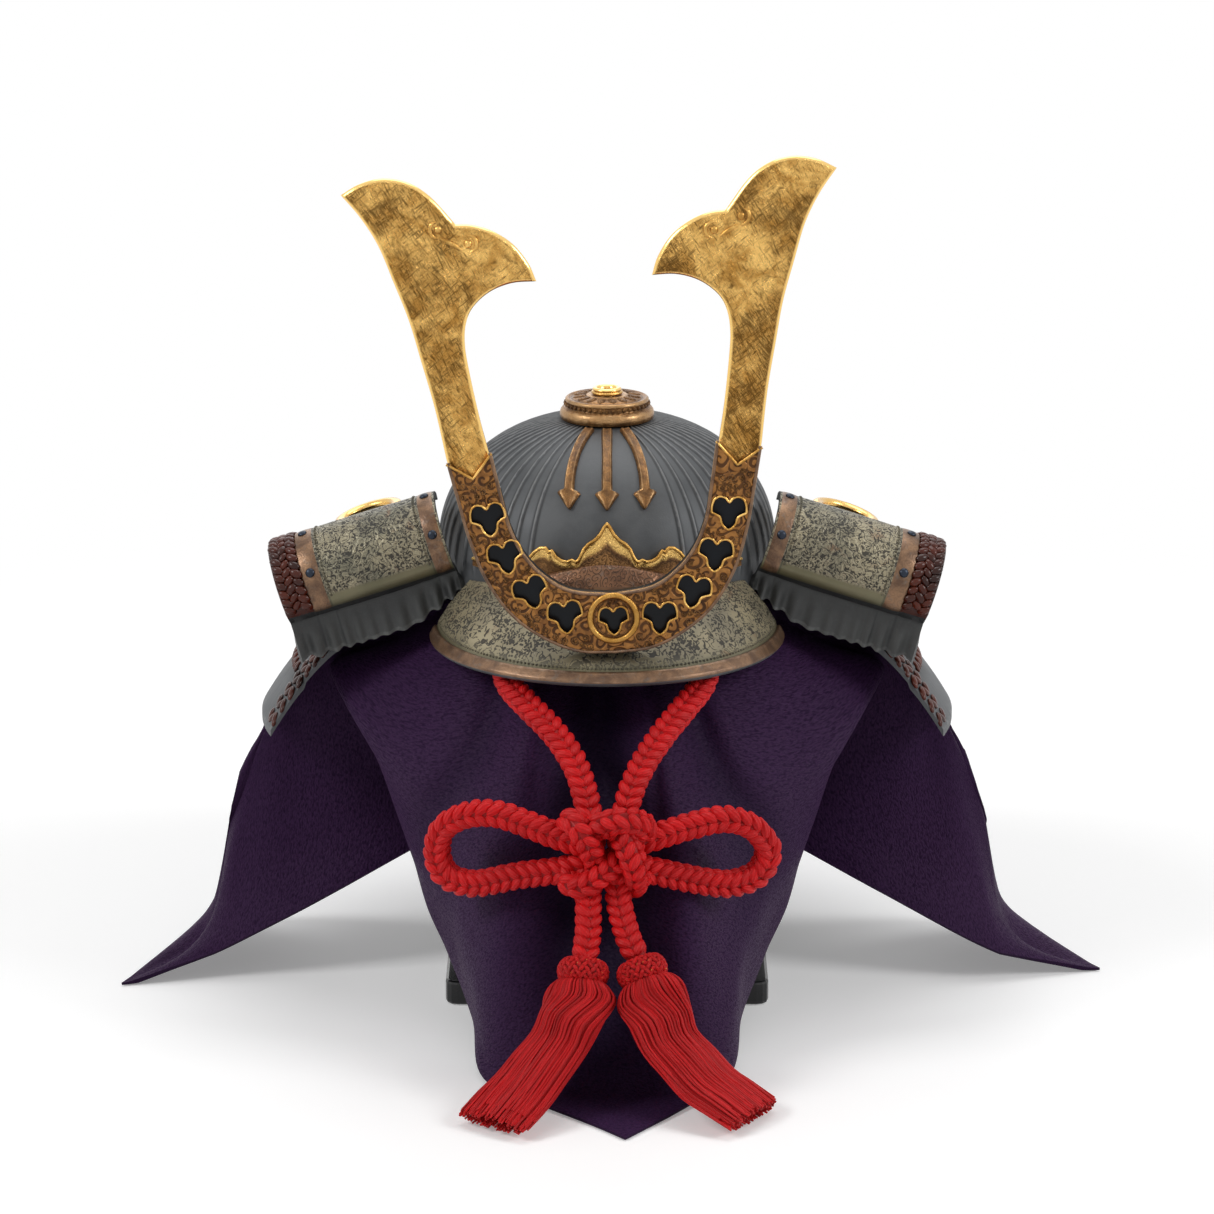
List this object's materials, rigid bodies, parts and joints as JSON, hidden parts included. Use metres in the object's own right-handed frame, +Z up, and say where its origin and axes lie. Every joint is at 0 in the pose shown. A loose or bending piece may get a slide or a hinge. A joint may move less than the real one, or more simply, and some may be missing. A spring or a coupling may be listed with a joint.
{
  "type": "display helmet figurine",
  "caption": "Half-size porcelain warrior helmet with gilt horned crest, flared neck guard and turn-backs, on a cloth-draped stand with a tied tasselled cord.",
  "frame": {"origin": "centre of the underside of the stand's board", "axes": "+Z up, -Y towards the viewer at the helmet's front, +X to the viewer's right"},
  "size_m": [0.413, 0.4351, 0.3617],
  "materials": {
    "black_lacquer": "gloss lacquer",
    "grey_bisque": "matt",
    "engraved_bisque": "satin",
    "bronze_lustre": "lustre",
    "burnished_gold": "burnished gold",
    "purple_crepe": "crepe",
    "red_braid": "braided silk"
  },
  "bodies": {
    "root": {"stand_board": "black_lacquer", "stand_post": "black_lacquer", "stand_head": "black_lacquer", "bowl": "grey_bisque", "neck_guard": "grey_bisque", "visor": "engraved_bisque", "turnback_left": "engraved_bisque", "turnback_right": "engraved_bisque", "crest_holder": "bronze_lustre", "crest_bracket": "bronze_lustre", "crown_fitting": "bronze_lustre", "arrow_left": "bronze_lustre", "arrow_middle": "bronze_lustre", "arrow_right": "bronze_lustre", "horn_left": "burnished_gold", "horn_right": "burnished_gold", "crown_boss": "burnished_gold", "brow_band": "burnished_gold", "display_cloth": "purple_crepe", "cord_lead_left": "red_braid", "cord_lead_right": "red_braid", "bow_loop_left": "red_braid", "bow_loop_right": "red_braid", "cord_knot": "red_braid", "cord_tail_left": "red_braid", "cord_tail_right": "red_braid", "tassel_head_left": "red_braid", "tassel_head_right": "red_braid", "tassel_skirt_left": "red_braid", "tassel_skirt_right": "red_braid"}
  },
  "joints": []
}
